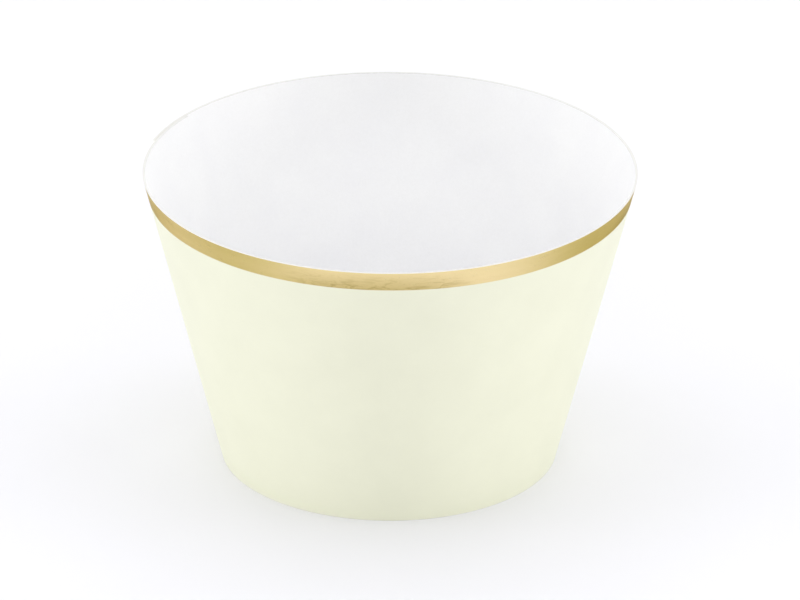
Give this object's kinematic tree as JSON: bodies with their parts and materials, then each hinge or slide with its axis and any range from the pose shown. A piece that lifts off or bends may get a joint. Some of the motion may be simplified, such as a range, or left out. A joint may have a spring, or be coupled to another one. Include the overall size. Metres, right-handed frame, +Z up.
{
  "type": "cupcake wrapper",
  "caption": "Tapered open sleeve of rolled card with a gold foil edge, lapped behind its left side and locked by a tongue in a slot.",
  "frame": {"origin": "centre of the base rim, on the plane the wrapper stands on", "axes": "+Z up along the sleeve's axis, -Y the plain front, +X to the right seen from the front, the seam on the left towards the back"},
  "size_m": [0.0758, 0.076, 0.047],
  "materials": {
    "cream_card": "matte"
  },
  "bodies": {
    "root": {"wrapper": "cream_card"}
  },
  "joints": []
}
